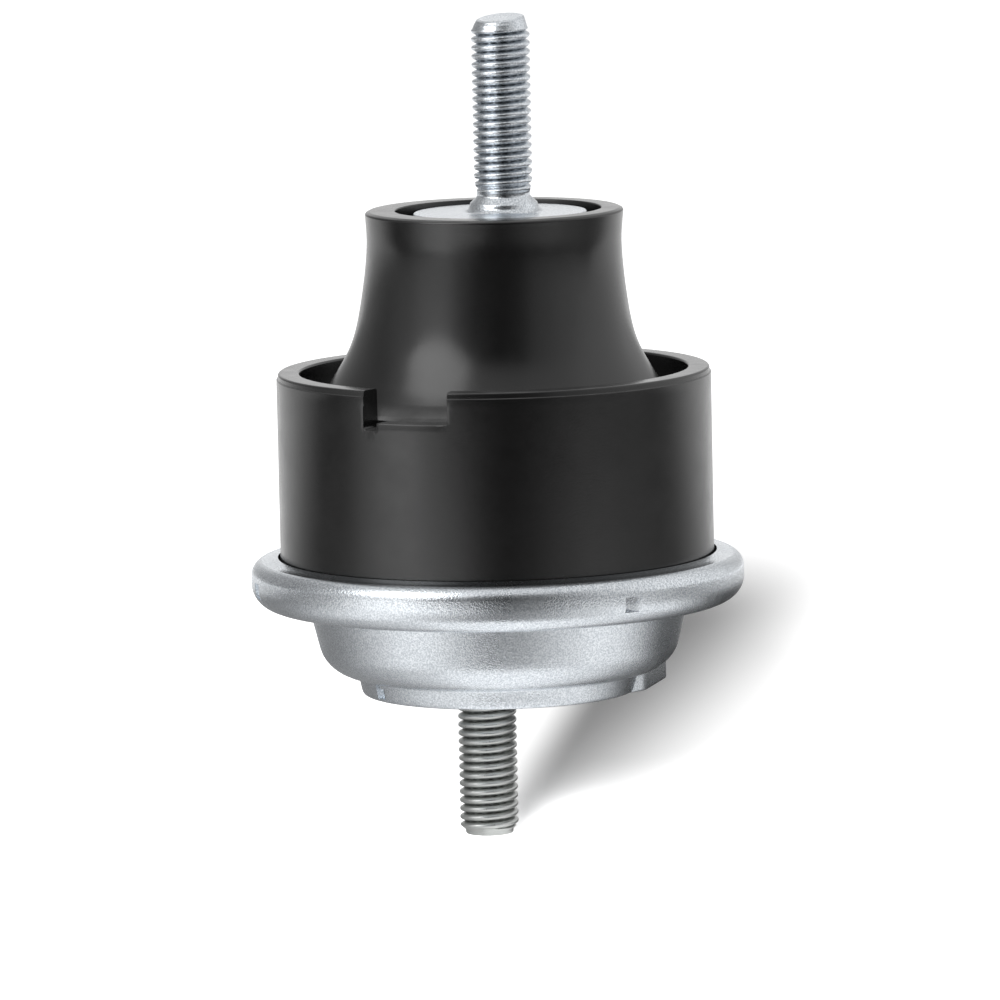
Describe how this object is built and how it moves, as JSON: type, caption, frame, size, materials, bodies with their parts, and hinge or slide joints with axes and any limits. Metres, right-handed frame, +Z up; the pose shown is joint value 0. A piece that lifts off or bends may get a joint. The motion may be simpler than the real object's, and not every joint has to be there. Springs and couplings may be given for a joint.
{
  "type": "hydraulic engine mount",
  "caption": "Round fluid-filled engine mount: a rubber cone and skirt clamped in the rolled rim of a pressed steel cup, with a threaded stud above and below.",
  "frame": {"origin": "on the body axis, in the plane of the underside of the cup's base, where the mount sits on its bracket", "axes": "+Z up along the body axis towards the upper stud, +X towards the side that the upper stud is offset to, -Y towards the viewer of the picture"},
  "size_m": [0.1017, 0.1016, 0.1697],
  "materials": {
    "zinc_steel": "satin",
    "stud_steel": "satin",
    "black_rubber": "matte",
    "core_alloy": "satin",
    "ring_steel": "satin"
  },
  "bodies": {
    "root": {"upper_stud": "zinc_steel", "inner_core": "core_alloy", "rubber_spring": "black_rubber", "outer_ring": "ring_steel", "upper_channel_plate": "core_alloy", "decoupler": "black_rubber", "lower_channel_plate": "core_alloy", "bellows": "black_rubber", "lower_cup": "zinc_steel", "lower_stud": "stud_steel"}
  },
  "joints": []
}
